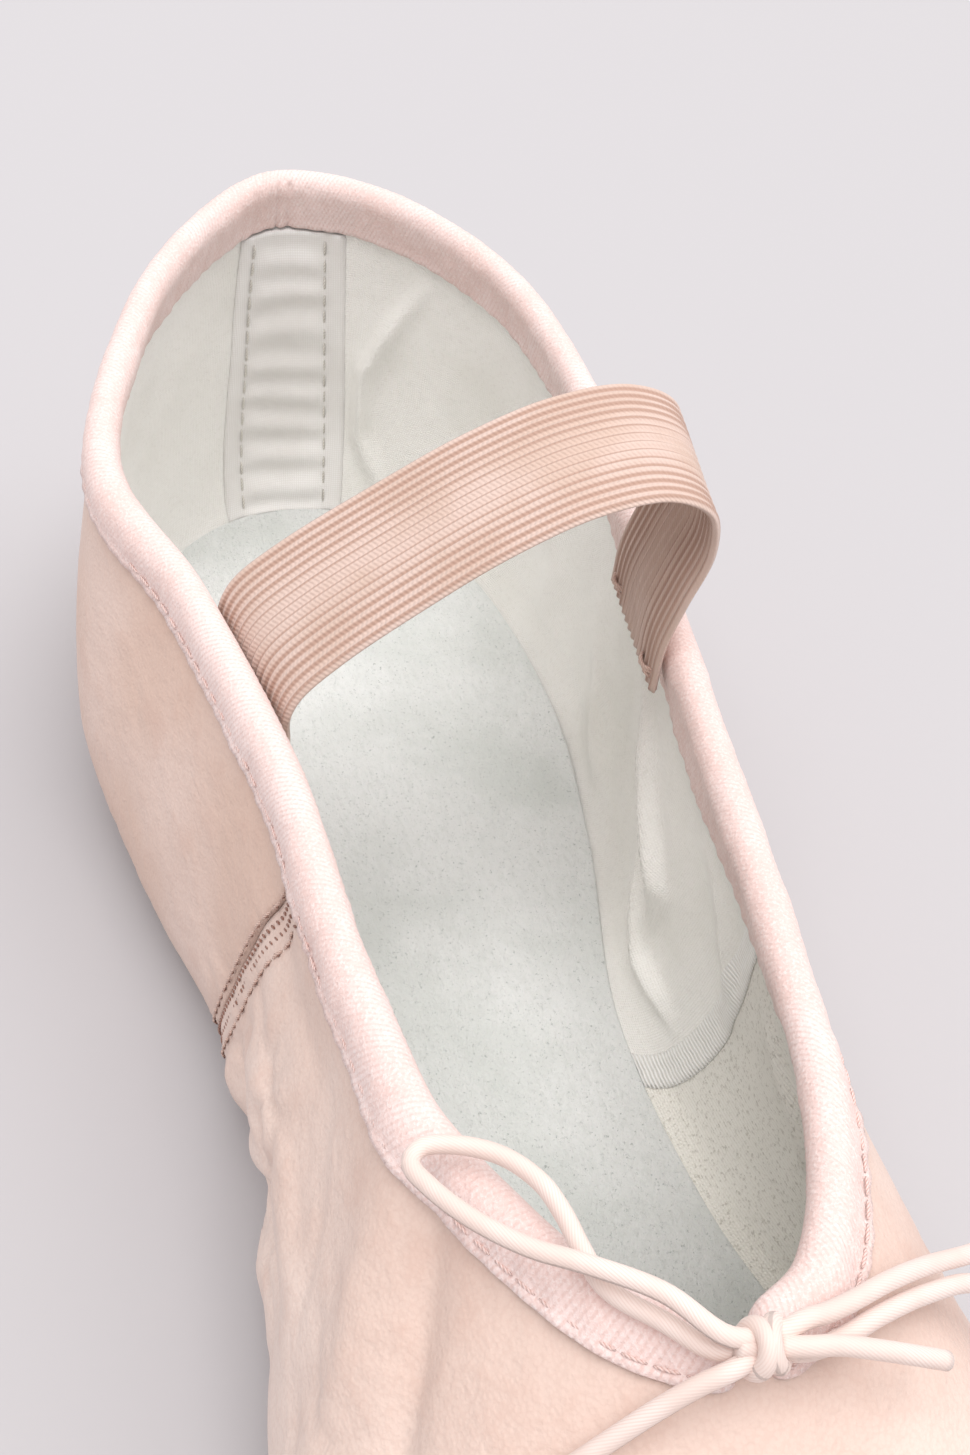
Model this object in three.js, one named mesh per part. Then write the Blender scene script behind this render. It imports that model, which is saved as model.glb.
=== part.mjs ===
// Ballet slipper, leather, full suede sole, elastic strap and drawstring bow.
// Millimetres, +Z up, heel towards -X, toe towards +X, sole resting on z = 0.
import * as THREE from 'three';

// ---- driving dimensions ------------------------------------------------------------------
const LENGTH = 235;        // heel back to toe tip, outside the leather
const WIDTH = 67;          // widest point, at the ball of the foot
const HEEL_HEIGHT = 58;    // floor to the top of the binding at the heel
const GAP = 0.3;           // between any two layers
const SOLE = 1.5;          // suede outsole
const LEATHER = 0.9;       // upper leather
const LINING = 0.6;        // cotton lining
const BOARD = 0.9;         // insole board
const SOCK = 0.6;          // suede sock on top of the board
const EASE = 0.6;          // board and sock to the lining, all round
const MARGIN = 8;          // upper turned in under the board
const TAPE = 0.6;          // topline binding tape
const BIND_OUT = 5.5;      // binding leg outside
const BIND_IN = 7.5;       // binding leg inside
const CORD = 1.5;          // elastic drawstring, diameter
const STRAP_WIDTH = 19;    // elastic strap
const STRAP_THICK = 0.9;
const STRAP_GAP = 0.8;     // strap ends to the lining they are sewn to
const STRAP_RISE = 21;     // top of the strap above the topline
const STAY_WIDTH = 16.5;   // tape over the back seam, inside
const THREAD = 0.4;        // sewing thread, diameter

const V = (x, y, z) => new THREE.Vector3(x, y, z);
const clamp = THREE.MathUtils.clamp;

// Stations round the shoe from the heel, down the -Y side to the toe and back up the +Y side:
// sole edge x,y; topline x,y,z; bulge at the sole; fill; lean; drop (the profile's two handles).
const STATIONS = [
  [-109, 0, -114.6, 0, 58, 10, 0, 3, 18],
  [-104, -13.5, -108.5, -11, 56.6, 10, 0, 3.5, 18],
  [-89, -24, -92, -22.5, 53.5, 10, 0, 5, 18],
  [-62, -28, -66, -30.3, 49.8, 11, 0, 4.5, 18],
  [-38, -25, -44, -24, 48, 12.5, 0, 7, 18],
  [-12, -19, -16, -19.6, 47.4, 13, 0, 6, 18],
  [14, -19, 8, -18.8, 48.5, 13, 0, 7, 18],
  [36, -24.5, 24, -16.8, 50, 12, 0.8, 6, 19],
  [58, -27, 35, -12.4, 51.3, 13, 1.1, 3, 21],
  [83, -26, 43, -8, 52.4, 15, 0.95, 1, 23],
  [104, -17, 47, -3.8, 53.1, 18, 0.72, 0, 26],
  [115, 0, 48.8, 0, 53.5, 20, 0.62, 0, 27],
  [104, 17, 47.4, 3.8, 53.1, 18, 0.72, 0, 26],
  [84, 26, 44.4, 7.8, 52.5, 15, 0.98, 2, 23],
  [60, 27, 37, 12.4, 51.4, 13, 1.2, 5, 21],
  [38, 24, 25, 17, 50, 11.5, 0.9, 7, 19],
  [16, 18.5, 8, 21.2, 48.5, 11, 0, 5, 18],
  [-10, 17.5, -14, 24.7, 47.5, 10, 0, 3, 18],
  [-37, 23.5, -40, 27.9, 47.8, 9, 0, 3, 18],
  [-62, 26.5, -67, 30, 49.8, 9, 0, 3, 18],
  [-89, 23.5, -92, 26.5, 53.5, 9, 0, 3, 18],
  [-104, 13.5, -108.5, 15, 56.6, 10, 0, 3, 18],
];
const N = STATIONS.length, TOE = N / 2;
const KX = LENGTH / 235, KY = WIDTH / 67, KZ = HEEL_HEIGHT / 58;
const Z0 = SOLE + GAP;

// closed Catmull-Rom through the stations; i counts stations and wraps
function station(i) {
  const k = Math.floor(i), w = i - k, row = j => STATIONS[((k + j) % N + N) % N];
  const [a, b, c, d] = [row(-1), row(0), row(1), row(2)];
  return b.map((_, j) => 0.5 * (2 * b[j] + (c[j] - a[j]) * w
    + (2 * a[j] - 5 * b[j] + 4 * c[j] - d[j]) * w * w + (3 * b[j] - a[j] - 3 * c[j] + d[j]) * w ** 3));
}

// outer face of the upper; t from -1 (inner end of the turned-in margin) over 0 (sole edge) to 1
function skin(i, t) {
  const s = station(i), p = station(i - 0.02), q = station(i + 0.02);
  const n = V(q[1] - p[1], -(q[0] - p[0]), 0).normalize();
  const B = V(s[0] * KX, s[1] * KY, Z0), T = V(s[2] * KX, s[3] * KY, s[4] * KZ);
  if (t < 0) return B.addScaledVector(n, t * MARGIN);
  const P1 = B.clone().addScaledVector(n, s[5]);
  const P2 = V(T.x + s[6] * (B.x - T.x), T.y + s[6] * (B.y - T.y), T.z - s[8] * KZ)
    .addScaledVector(n, s[7]);
  const a = 1 - t;
  return B.multiplyScalar(a ** 3).addScaledVector(P1, 3 * a * a * t)
    .addScaledVector(P2, 3 * a * t * t).addScaledVector(T, t ** 3);
}
// the same, moved out along the skin's normal
function at(i, t, off) {
  const p = skin(i, t);
  if (t < 0) return p.setZ(p.z - off);
  const du = skin(i + 0.01, t).sub(skin(i - 0.01, t));
  const dt = skin(i, Math.min(t + 0.01, 1)).sub(skin(i, Math.max(t - 0.01, 0)));
  return p.addScaledVector(du.cross(dt).normalize(), off);
}
// t at a distance d below the topline
function down(i, d) {
  const top = skin(i, 1);
  let lo = 0.3, hi = 1;
  for (let k = 0; k < 24; k++) {
    const m = (lo + hi) / 2;
    if (skin(i, m).distanceTo(top) > d) lo = m; else hi = m;
  }
  return (lo + hi) / 2;
}
// t at a height z on a face off from the skin
function rise(i, z, off) {
  let lo = 0, hi = 0.6;
  for (let k = 0; k < 24; k++) {
    const m = (lo + hi) / 2;
    if (at(i, m, off).z < z) lo = m; else hi = m;
  }
  return (lo + hi) / 2;
}
// station number where the topline passes x on one side (-1: the -Y side, 1: the +Y side)
function stationAt(side, x, t = 1) {
  let lo = 0, hi = TOE;
  for (let k = 0; k < 30; k++) {
    const m = (lo + hi) / 2;
    if (skin(side < 0 ? m : N - m, t).x < x) lo = m; else hi = m;
  }
  return side < 0 ? (lo + hi) / 2 : N - (lo + hi) / 2;
}

// ---- solids --------------------------------------------------------------------------------
const slipper = new THREE.Group();
slipper.name = 'ballet_slipper';

function add(name, verts, tris, colour, roughness = 0.85) {
  let six = 0;
  for (const [a, b, c] of tris) six += verts[a].dot(verts[b].clone().cross(verts[c]));
  const faces = six < 0 ? tris.map(([a, b, c]) => [a, c, b]) : tris;
  const geometry = new THREE.BufferGeometry();
  geometry.setAttribute('position', new THREE.Float32BufferAttribute(verts.flatMap(v => v.toArray()), 3));
  geometry.setIndex(faces.flat());
  geometry.computeVertexNormals();
  const mesh = new THREE.Mesh(geometry, new THREE.MeshStandardMaterial({ color: colour, roughness }));
  mesh.name = name;
  slipper.add(mesh);
}
// rings of points joined in order; ends are closed with a fan unless the rings loop round
function loft(name, rings, colour, { loop = false, cap = fan } = {}) {
  const n = rings[0].length, verts = rings.flat(), tris = [];
  const last = loop ? rings.length : rings.length - 1;
  for (let r = 0; r < last; r++) {
    for (let k = 0; k < n; k++) {
      const a = r * n + k, b = r * n + (k + 1) % n;
      const c = ((r + 1) % rings.length) * n + (k + 1) % n, d = ((r + 1) % rings.length) * n + k;
      // a layer's inner face is split along the same diagonals as its outer face
      if (cap === strip && k >= n / 2) tris.push([a, b, d], [b, c, d]);
      else tris.push([a, b, c], [a, c, d]);
    }
  }
  if (!loop) {
    for (const [a, b, c] of cap(rings[0])) tris.push([a, c, b]);
    const o = (rings.length - 1) * n;
    for (const [a, b, c] of cap(rings[rings.length - 1])) tris.push([a + o, b + o, c + o]);
  }
  add(name, verts, tris, colour);
}
function fan(ring) {
  return ring.slice(2).map((_, k) => [0, k + 1, k + 2]);
}
// cap for a flat outline in plan
function plan(ring) {
  return THREE.ShapeUtils.triangulateShape(ring.map(p => new THREE.Vector2(p.x, p.y)), []);
}
// cap for a long thin section whose second half mirrors its first
function strip(ring) {
  const n = ring.length, out = [];
  for (let k = 0; k < n / 2 - 1; k++) {
    out.push([k, k + 1, n - 2 - k], [k, n - 2 - k, n - 1 - k]);
  }
  return out;
}

// station lines: four to a span round the heel, three elsewhere
const LINES = [];
for (let k = 0; k < N; k++) {
  const m = k < 2 || k >= N - 2 || Math.abs(k + 0.5 - TOE) < 2 ? 4 : 3;
  for (let j = 0; j < m; j++) LINES.push(k + j / m);
}
function between(a, b) {
  const mid = [];
  for (let turn = -1; turn <= 1; turn++) {
    for (const l of LINES) {
      if (l + turn * N > a + 0.12 && l + turn * N < b - 0.12) mid.push(l + turn * N);
    }
  }
  return [a, ...mid, b];
}
const steady = i => () => i;
// rows of a layer: below 0 the margin, 0 to 1 from the sole edge to just under the binding,
// 1 to 2 behind the binding, where the layer stops short of the fold
const HEM = 2.9, LOW = BIND_IN + GAP;
const RUNS = [-1, 0, 0.08, 0.16, 0.28, 0.44, 0.64, 1, 1.5, 2];
const level = (i, g) => g <= 0 ? g : g <= 1 ? g * down(i, LOW) : down(i, LOW + (g - 1) * (HEM - LOW));
// a skin layer between two seams: a and b give the station at t, out and inn are the two faces
function panel(name, a, b, runs, out, inn, colour) {
  const lines = between(Math.max(...runs.map(a)), Math.min(...runs.map(b))).slice(1, -1);
  const first = lines[0], last = lines[lines.length - 1];
  // the cells next to a slanted seam are cut in three
  const ends = f => (f(0) === f(1) ? [0] : [0, 1 / 3, 2 / 3]);
  const columns = lines.length
    ? [...ends(a).map(w => t => a(t) + w * (first - a(t))), ...lines.map(steady),
      ...ends(b).map(w => t => b(t) + w * (last - b(t))).reverse()]
    : [a, t => (a(t) + b(t)) / 2, b];
  const rings = [];
  for (const column of columns) {
    const line = off => runs.map(g => {
      const i = column(g <= 1 ? 0.85 * g : 0.7 + 0.15 * g);
      return at(i, level(i, g), off);
    });
    rings.push([...line(out), ...line(inn).reverse()]);
  }
  loft(name, rings, colour, { cap: strip });
}
const shift = (f, d) => t => f(t) + d;
const lean = (low, high) => t => low + (high - low) * clamp(t, 0, 1);

const PINK = 0xf0cdbf, TAPE_PINK = 0xf4d5cf, CREAM = 0xe9e8df, SUEDE = 0xd9d6cf, THREAD_PINK = 0xe6b9ab;

// ---- sole ----------------------------------------------------------------------------------
const outline = (inset, z) => LINES.map(i => {
  const p = skin(i, -inset / MARGIN);
  return V(p.x, p.y, z);
});
const CHANNEL = 3, CHANNEL_WIDTH = 1, CHANNEL_DEPTH = 0.9;   // stitch channel in the outsole
loft('outsole', [outline(0.3, SOLE), outline(0, 0.4), outline(0.2, 0), outline(CHANNEL - CHANNEL_WIDTH / 2, 0),
  outline(CHANNEL - CHANNEL_WIDTH / 2, CHANNEL_DEPTH), outline(CHANNEL + CHANNEL_WIDTH / 2, CHANNEL_DEPTH),
  outline(CHANNEL + CHANNEL_WIDTH / 2, 0)], SUEDE, { cap: plan });

// thread or cord: a round solid along points
function tube(name, points, diameter, sides, colour, loop = false) {
  const n = points.length, rings = [];
  let side = null;
  points.forEach((p, k) => {
    const prev = loop ? points[(k + n - 1) % n] : points[Math.max(k - 1, 0)];
    const next = loop ? points[(k + 1) % n] : points[Math.min(k + 1, n - 1)];
    const dir = next.clone().sub(prev).normalize();
    if (!side) side = V(0, 0, 1).cross(dir).normalize();
    side.addScaledVector(dir, -side.dot(dir)).normalize();
    const up = dir.clone().cross(side);
    rings.push(Array.from({ length: sides }, (_, j) => {
      const w = (2 * Math.PI * j) / sides;
      return p.clone().addScaledVector(side, Math.cos(w) * diameter / 2)
        .addScaledVector(up, Math.sin(w) * diameter / 2);
    }));
  });
  loft(name, rings, colour, { loop });
}
const smooth = (points, steps) => new THREE.CatmullRomCurve3(points, false, 'centripetal').getPoints(steps);

tube('sole_stitch', outline(CHANNEL, 0.35), THREAD, 4, CREAM, true);

const boardZ = Z0 + LEATHER + GAP, sockZ = boardZ + BOARD + GAP;
const inside = -(LEATHER + GAP + LINING);           // inner face of the lining
const flat = (low, high) => {
  const edge = z => LINES.map(i => {
    const p = at(i, rise(i, low, inside - EASE), inside - EASE);
    return V(p.x, p.y, z);
  });
  return [edge(high), edge(low)];
};
loft('insole_board', flat(boardZ, boardZ + BOARD), 0xcfc5b2, { cap: plan });
loft('insole_sock', flat(sockZ, sockZ + SOCK), 0xe2e3df, { cap: plan });

// ---- upper ---------------------------------------------------------------------------------
// side seams slant: their foot lies further back than their top
const seamLeft = lean(stationAt(-1, -22 * KX, 0), stationAt(-1, -4 * KX));
const seamRight = lean(stationAt(1, -22 * KX, 0), stationAt(1, -4 * KX));
const half = 0.008;                                 // half the gap at a butted seam, in stations
panel('vamp', shift(seamLeft, half), shift(seamRight, -half), RUNS, 0, -LEATHER, PINK);
panel('quarter_left', steady(0.02), shift(seamLeft, -half), RUNS, 0, -LEATHER, PINK);
panel('quarter_right', shift(seamRight, half), steady(N - 0.02), RUNS, 0, -LEATHER, PINK);

const LINING_RUNS = RUNS.slice(3), TAPE_RUNS = RUNS.slice(3, -2);


const liningLeft = lean(stationAt(-1, -5 * KX, 0), stationAt(-1, 10 * KX));
const liningRight = lean(stationAt(1, -5 * KX, 0), stationAt(1, 10 * KX));
const lined = [-(LEATHER + GAP), inside];
panel('vamp_lining', shift(liningLeft, half), shift(liningRight, -half), LINING_RUNS, ...lined, 0xe6e6dc);
panel('quarter_lining_left', steady(0.02), shift(liningLeft, -half), LINING_RUNS, ...lined, CREAM);
panel('quarter_lining_right', shift(liningRight, half), steady(N - 0.02), LINING_RUNS, ...lined, CREAM);

// tape over the back seam, inside; it stops under the binding's inner leg
const stay = STAY_WIDTH / 2 / skin(1, 0.8).distanceTo(skin(0, 0.8));
panel('back_stay_tape', steady(-stay), steady(stay), TAPE_RUNS, inside - GAP, inside - GAP - TAPE, 0xf1f0ea);
// narrow tapes over the lining's side seams
const seamTape = (name, f, w) => panel(name, shift(f, -w), shift(f, w), TAPE_RUNS, inside - GAP,
  inside - GAP - 0.4, 0xf3f1ec);
seamTape('lining_seam_tape_left', liningLeft, 0.09);
seamTape('lining_seam_tape_right', liningRight, 0.09);

// ---- topline binding, drawstring inside its fold ---------------------------------------------
const centre = -(LEATHER + GAP / 2 + 0.1), outer = GAP + TAPE, inner = inside - GAP - TAPE;
const R = (outer - inner) / 2;
function binding(i) {
  const arc = (r, deg) => [R + 0.05 - r * Math.sin(deg), (outer + inner) / 2 + r * Math.cos(deg)];
  const q = Math.PI / 4, r = R - TAPE;
  const mid = (LOW + HEM) / 2;
  const section = [[BIND_OUT, outer], [R + 0.05, outer], arc(R, q), arc(R, 2 * q), arc(R, 3 * q),
    [R + 0.05, inner], [mid, inner], [BIND_IN, inner], [BIND_IN, inner + TAPE], [mid, inner + TAPE],
    [R + 0.05, inner + TAPE], arc(r, 3 * q), arc(r, 2 * q), arc(r, q), [R + 0.05, GAP], [BIND_OUT, GAP]];
  return section.map(([d, off]) => at(i, down(i, d), off));
}
const EXIT = 0.3;                                   // half the slot at the throat, in stations
loft('topline_binding', between(TOE + EXIT, TOE + N - EXIT).map(binding), TAPE_PINK, { cap: strip });
tube('drawstring_in_casing', between(TOE + EXIT, TOE + N - EXIT)
  .map(i => at(i, down(i, R - 0.05), (outer + inner) / 2)), CORD - 0.2, 5, TAPE_PINK);
tube('binding_stitch', between(TOE + EXIT, TOE + N - EXIT)
  .map(i => at(i, down(i, BIND_OUT - 0.8), outer + 0.1 + THREAD / 2)), THREAD, 4, THREAD_PINK);

// ---- seam stitching outside ------------------------------------------------------------------
const clear = 0.2 + THREAD / 2;
const fit = (i, t) => t * down(i, BIND_OUT + 1);
function row(name, f, side) {
  const points = Array.from({ length: 13 }, (_, k) => {
    const t = 0.1 + 0.9 * k / 12, i = f(t) + side;
    return at(i, fit(i, t), clear);
  });
  tube(name, points, THREAD, 4, THREAD_PINK);
}
function zigzag(name, f, count, width) {
  const points = Array.from({ length: count + 1 }, (_, k) => {
    const t = 0.16 + 0.84 * k / count, i = f(t) + (k % 2 ? width : -width);
    return at(i, fit(i, t), clear);
  });
  tube(name, points, THREAD, 4, THREAD_PINK);
}
for (const [side, seam] of [['left', seamLeft], ['right', seamRight]]) {
  row(`side_seam_stitch_${side}_rear`, seam, side === 'left' ? -0.085 : 0.085);
  row(`side_seam_stitch_${side}_front`, seam, side === 'left' ? 0.085 : -0.085);
  zigzag(`side_seam_zigzag_${side}`, seam, 20, 0.035);
}
zigzag('back_seam_zigzag', steady(N), 30, 0.09);

// ---- elastic strap ---------------------------------------------------------------------------
const strapX = -34 * KX, FOLD = { left: 2, right: 0.5 };   // how far below the topline each end begins
const wall = (side, x, d) => {
  const i = stationAt(side, x), p = at(i, down(i, d), inner);
  return V(x, p.y - side * (STRAP_GAP + STRAP_THICK / 2), p.z);
};
function strapEdge(x) {
  // the sewn ends hang straight down inside the wall, so that they can turn about the line between them
  const a = wall(-1, x, FOLD.left), b = wall(1, x, FOLD.right), w = b.y - a.y, top = (a.z + b.z) / 2;
  const drop = (p, d) => V(p.x, p.y, p.z - d);
  const L = [drop(a, 6), drop(a, 3), a], T = [b, drop(b, 2.2), drop(b, 4.4)];
  const arch = [[0.03, 0.1], [0.14, 0.31], [0.34, 0.59], [0.56, 0.86], [0.76, 1.03], [0.94, 1.07],
    [1.06, 0.95], [1.085, 0.7], [1.04, 0.4], [1.008, 0.17]]
    .map(([u, h]) => V(x, a.y + u * w, top + h * STRAP_RISE));
  return smooth([...L, ...arch, ...T], 30);
}
const rear = strapEdge(strapX - STRAP_WIDTH / 2), front = strapEdge(strapX + STRAP_WIDTH / 2);
loft('elastic_strap', rear.map((p, k) => {
  const q = front[k], along = (a, m) => a[Math.min(m + 1, 30)].clone().sub(a[Math.max(m - 1, 0)]);
  const n = q.clone().sub(p).cross(along(rear, k)).normalize().multiplyScalar(STRAP_THICK / 2);
  return [p.clone().add(n), q.clone().add(n), q.clone().sub(n), p.clone().sub(n)];
}), 0xf2c9bd);
// hand-sewn thread bars at the corners of the strap's two ends
for (const [side, s] of [['left', -1], ['right', 1]]) {
  for (const [place, dx] of [['rear', -6.5], ['front', 6.5]]) {
    const p = wall(s, strapX + dx, FOLD[side]).add(V(0, -s * (STRAP_THICK / 2 + GAP + 0.4), -3));
    tube(`strap_tack_${side}_${place}`, [-1.6, -0.8, 0, 0.8, 1.6].map(x => V(p.x + x, p.y, p.z)),
      0.8, 6, THREAD_PINK);
  }
}

// ---- drawstring bow --------------------------------------------------------------------------
const knotI = TOE, base = at(knotI, down(knotI, 2.4), outer);
const K = base.clone().add(V(1, 0, 2.6));
{
  const rings = [-90, -55, -20, 20, 55, 90].map(deg => {
    const a = THREE.MathUtils.degToRad(deg), r = Math.max(Math.cos(a), 0.18);
    return Array.from({ length: 10 }, (_, j) => {
      const w = (2 * Math.PI * j) / 10;
      return V(K.x + 2 * r * Math.cos(w), K.y + 2.6 * Math.sin(a), K.z + 2.3 * r * Math.sin(w));
    });
  });
  loft('bow_knot', rings, TAPE_PINK);
}
// cord of the bow from points relative to the knot
const bow = (name, points, steps) =>
  tube(name, smooth(points.map(([x, y, z]) => V(K.x + x, K.y + y, K.z + z)), steps), CORD, 8, TAPE_PINK);
bow('bow_loop_left', [[-1, -2.9, 1], [-4.8, -5.9, 1.1], [-8.5, -10.5, 0.5], [-10.9, -13.6, -0.3],
  [-14.5, -16.8, -1.2], [-18.2, -19, -2], [-20.7, -19.8, -2.5], [-21.9, -18.7, -2.6],
  [-21.4, -16.2, -2.3], [-19.5, -13, -2], [-16.5, -10.9, -1.7], [-13.6, -10.1, -1.6],
  [-10.6, -9.7, -1.6], [-7.4, -8.9, -1.7], [-3.8, -5.8, -1.3], [-1, -3.2, -1.1]], 36);
bow('bow_loop_right', [[-0.8, 3.1, 0.9], [-1.2, 5, 0.1], [-2, 7.5, -1], [-3.7, 12, -3], [-5.3, 16.7, -5.6],
  [-6.8, 22.3, -8.8], [-8, 26.4, -10.8], [-8, 29.6, -12.5], [-5.8, 31, -13.4], [-3.6, 29, -12.7],
  [-3.7, 25.4, -11.2], [-4.7, 21.8, -9.4], [-3.5, 16.2, -6.3], [-1.6, 10.4, -3.5],
  [-0.2, 6.5, -2.3], [0.4, 3.45, -1.6]], 36);
bow('bow_tail_left', [[0.9, -2.95, -0.5], [0.9, -5, -1.6], [1, -7.7, -3.6], [1.3, -10.8, -6], [1.7, -14.5, -8.8],
  [1.8, -18.5, -12], [1.1, -23, -16.8], [0.3, -26, -21]], 20);
bow('bow_tail_right', [[1.1, 3, 0.7], [1.2, 4.8, 0.2], [1.8, 9.2, -1.7], [2.3, 14.2, -4.5]], 8);

export default slipper;
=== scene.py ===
"""Ballet slipper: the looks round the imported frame. Lengths are in millimetres until mesh() scales them."""
import itertools
import math

import bmesh
import bpy
import numpy as np
from mathutils import Matrix, Vector

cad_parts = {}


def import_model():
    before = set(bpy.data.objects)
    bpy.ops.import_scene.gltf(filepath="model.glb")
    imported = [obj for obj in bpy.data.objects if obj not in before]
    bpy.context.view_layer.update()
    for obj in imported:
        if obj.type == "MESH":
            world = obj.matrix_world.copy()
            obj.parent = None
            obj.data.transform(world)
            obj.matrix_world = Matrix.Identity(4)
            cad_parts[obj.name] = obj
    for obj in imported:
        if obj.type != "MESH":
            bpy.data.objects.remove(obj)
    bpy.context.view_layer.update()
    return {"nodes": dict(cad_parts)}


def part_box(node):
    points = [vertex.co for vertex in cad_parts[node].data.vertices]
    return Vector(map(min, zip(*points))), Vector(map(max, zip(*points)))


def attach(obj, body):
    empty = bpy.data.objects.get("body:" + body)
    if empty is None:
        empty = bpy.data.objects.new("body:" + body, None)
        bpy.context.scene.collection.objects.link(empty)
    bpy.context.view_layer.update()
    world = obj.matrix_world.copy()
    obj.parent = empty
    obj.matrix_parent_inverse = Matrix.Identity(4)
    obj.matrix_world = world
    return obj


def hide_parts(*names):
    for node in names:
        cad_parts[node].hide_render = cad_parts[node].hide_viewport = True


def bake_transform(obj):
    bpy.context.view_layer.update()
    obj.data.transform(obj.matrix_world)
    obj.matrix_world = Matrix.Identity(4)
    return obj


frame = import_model()
MM = 0.001


# ---- the slipper's lines, the same as in the CAD --------
# one row for each station, heel first, down the left (-Y) side to the toe and back up the right:
# sole edge x, y; topline x, y, z; bulge at the sole; lean over the foot; bulge and drop at the topline
STATIONS = np.array([
    (-109, 0, -114.6, 0, 58, 10, 0, 3, 18),
    (-104, -13.5, -108.5, -11, 56.6, 10, 0, 3.5, 18),
    (-89, -24, -92, -22.5, 53.5, 10, 0, 5, 18),
    (-62, -28, -66, -30.3, 49.8, 11, 0, 4.5, 18),
    (-38, -25, -44, -24, 48, 12.5, 0, 7, 18),
    (-12, -19, -16, -19.6, 47.4, 13, 0, 6, 18),
    (14, -19, 8, -18.8, 48.5, 13, 0, 7, 18),
    (36, -24.5, 24, -16.8, 50, 12, 0.8, 6, 19),
    (58, -27, 35, -12.4, 51.3, 13, 1.1, 3, 21),
    (83, -26, 43, -8, 52.4, 15, 0.95, 1, 23),
    (104, -17, 47, -3.8, 53.1, 18, 0.72, 0, 26),
    (115, 0, 48.8, 0, 53.5, 20, 0.62, 0, 27),
    (104, 17, 47.4, 3.8, 53.1, 18, 0.72, 0, 26),
    (84, 26, 44.4, 7.8, 52.5, 15, 0.98, 2, 23),
    (60, 27, 37, 12.4, 51.4, 13, 1.2, 5, 21),
    (38, 24, 25, 17, 50, 11.5, 0.9, 7, 19),
    (16, 18.5, 8, 21.2, 48.5, 11, 0, 5, 18),
    (-10, 17.5, -14, 24.7, 47.5, 10, 0, 3, 18),
    (-37, 23.5, -40, 27.9, 47.8, 9, 0, 3, 18),
    (-62, 26.5, -67, 30, 49.8, 9, 0, 3, 18),
    (-89, 23.5, -92, 26.5, 53.5, 9, 0, 3, 18),
    (-104, 13.5, -108.5, 15, 56.6, 10, 0, 3, 18),
])
N = len(STATIONS)
TOE = N // 2
GAP = 0.3                        # between layers
SOLE, LEATHER, LINING, BOARD, SOCK, TAPE = 1.5, 0.9, 0.6, 0.9, 0.6, 0.6
MARGIN = 8                       # leather turned in under the board
BIND_OUT, BIND_IN = 5.5, 7.5     # the binding's legs, outside and inside
CORD = 1.5
Z0 = SOLE + GAP                  # underside of the upper
INSIDE = -(LEATHER + GAP + LINING)
INNER = INSIDE - GAP - TAPE
HEM, LOW = 2.9, BIND_IN + GAP    # where a layer ends behind the binding, and where it comes out below


def station(i):
    i = np.asarray(i, float)
    k = np.floor(i).astype(int)
    w = (i - k)[..., None]
    a, b, c, d = (STATIONS[(k + j) % N] for j in (-1, 0, 1, 2))
    return 0.5 * (2 * b + (c - a) * w + (2 * a - 5 * b + 4 * c - d) * w**2 + (3 * b - a - 3 * c + d) * w**3)


def skin(i, t):
    """Outer face of the upper at t: -1 the margin's inner end, 0 the sole edge, 1 the topline."""
    i, t = np.broadcast_arrays(np.asarray(i, float), np.asarray(t, float))
    s, turn = station(i), station(i + 0.02) - station(i - 0.02)
    n = np.stack([turn[..., 1], -turn[..., 0], np.zeros(i.shape)], -1)
    n /= np.linalg.norm(n, axis=-1, keepdims=True)
    sole = np.stack([s[..., 0], s[..., 1], np.full(i.shape, Z0)], -1)
    top = s[..., 2:5]
    p1 = sole + n * s[..., 5:6]
    p2 = top + s[..., 6:7] * (sole - top) * (1, 1, 0) - s[..., 8:9] * np.array((0, 0, 1)) + n * s[..., 7:8]
    t = t[..., None]
    up = t.clip(0, 1)
    a = 1 - up
    return a**3 * sole + 3 * a * a * up * p1 + 3 * a * up * up * p2 + up**3 * top + n * MARGIN * t.clip(-1, 0)


def normal(i, t):
    t = np.asarray(t, float)
    du = skin(i + 0.01, t) - skin(i - 0.01, t)
    dt = skin(i, np.minimum(t + 0.01, 1)) - skin(i, np.maximum(t - 0.01, 0))
    n = np.cross(du, dt)
    return n / np.linalg.norm(n, axis=-1, keepdims=True)


def down(i, d):
    """t at a distance d below the topline."""
    i, d = np.broadcast_arrays(np.asarray(i, float), np.asarray(d, float))
    top, lo, hi = skin(i, 1), np.full(i.shape, 0.3), np.full(i.shape, 1.0)
    for _ in range(16):
        m = (lo + hi) / 2
        far = np.linalg.norm(skin(i, m) - top, axis=-1) > d
        lo, hi = np.where(far, m, lo), np.where(far, hi, m)
    return (lo + hi) / 2


def rise(i, z, off):
    """t at a height z on a face off from the skin."""
    lo, hi = np.zeros(np.shape(i)), np.full(np.shape(i), 0.6)
    for _ in range(16):
        m = (lo + hi) / 2
        under = (skin(i, m) + normal(i, m) * off)[..., 2] < z
        lo, hi = np.where(under, m, lo), np.where(under, hi, m)
    return (lo + hi) / 2


def station_at(side, x, t=1):
    """Station number where the line t passes x, on the -Y side (side -1) or the +Y side (side 1)."""
    lo, hi = 0.0, float(TOE)
    for _ in range(30):
        m = (lo + hi) / 2
        lo, hi = (m, hi) if skin(m if side < 0 else N - m, t)[0] < x else (lo, m)
    return lo if side < 0 else N - lo


def level(i, g):
    """Row g of a layer: below 0 the margin, 0 to 1 up to the binding, 1 to 2 behind it."""
    i, g = np.broadcast_arrays(np.asarray(i, float), np.asarray(g, float))
    t = down(i, np.where(g <= 1, LOW, LOW + (g - 1) * (HEM - LOW)))
    return np.where(g <= 0, g, np.where(g <= 1, g * t, t))


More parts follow.
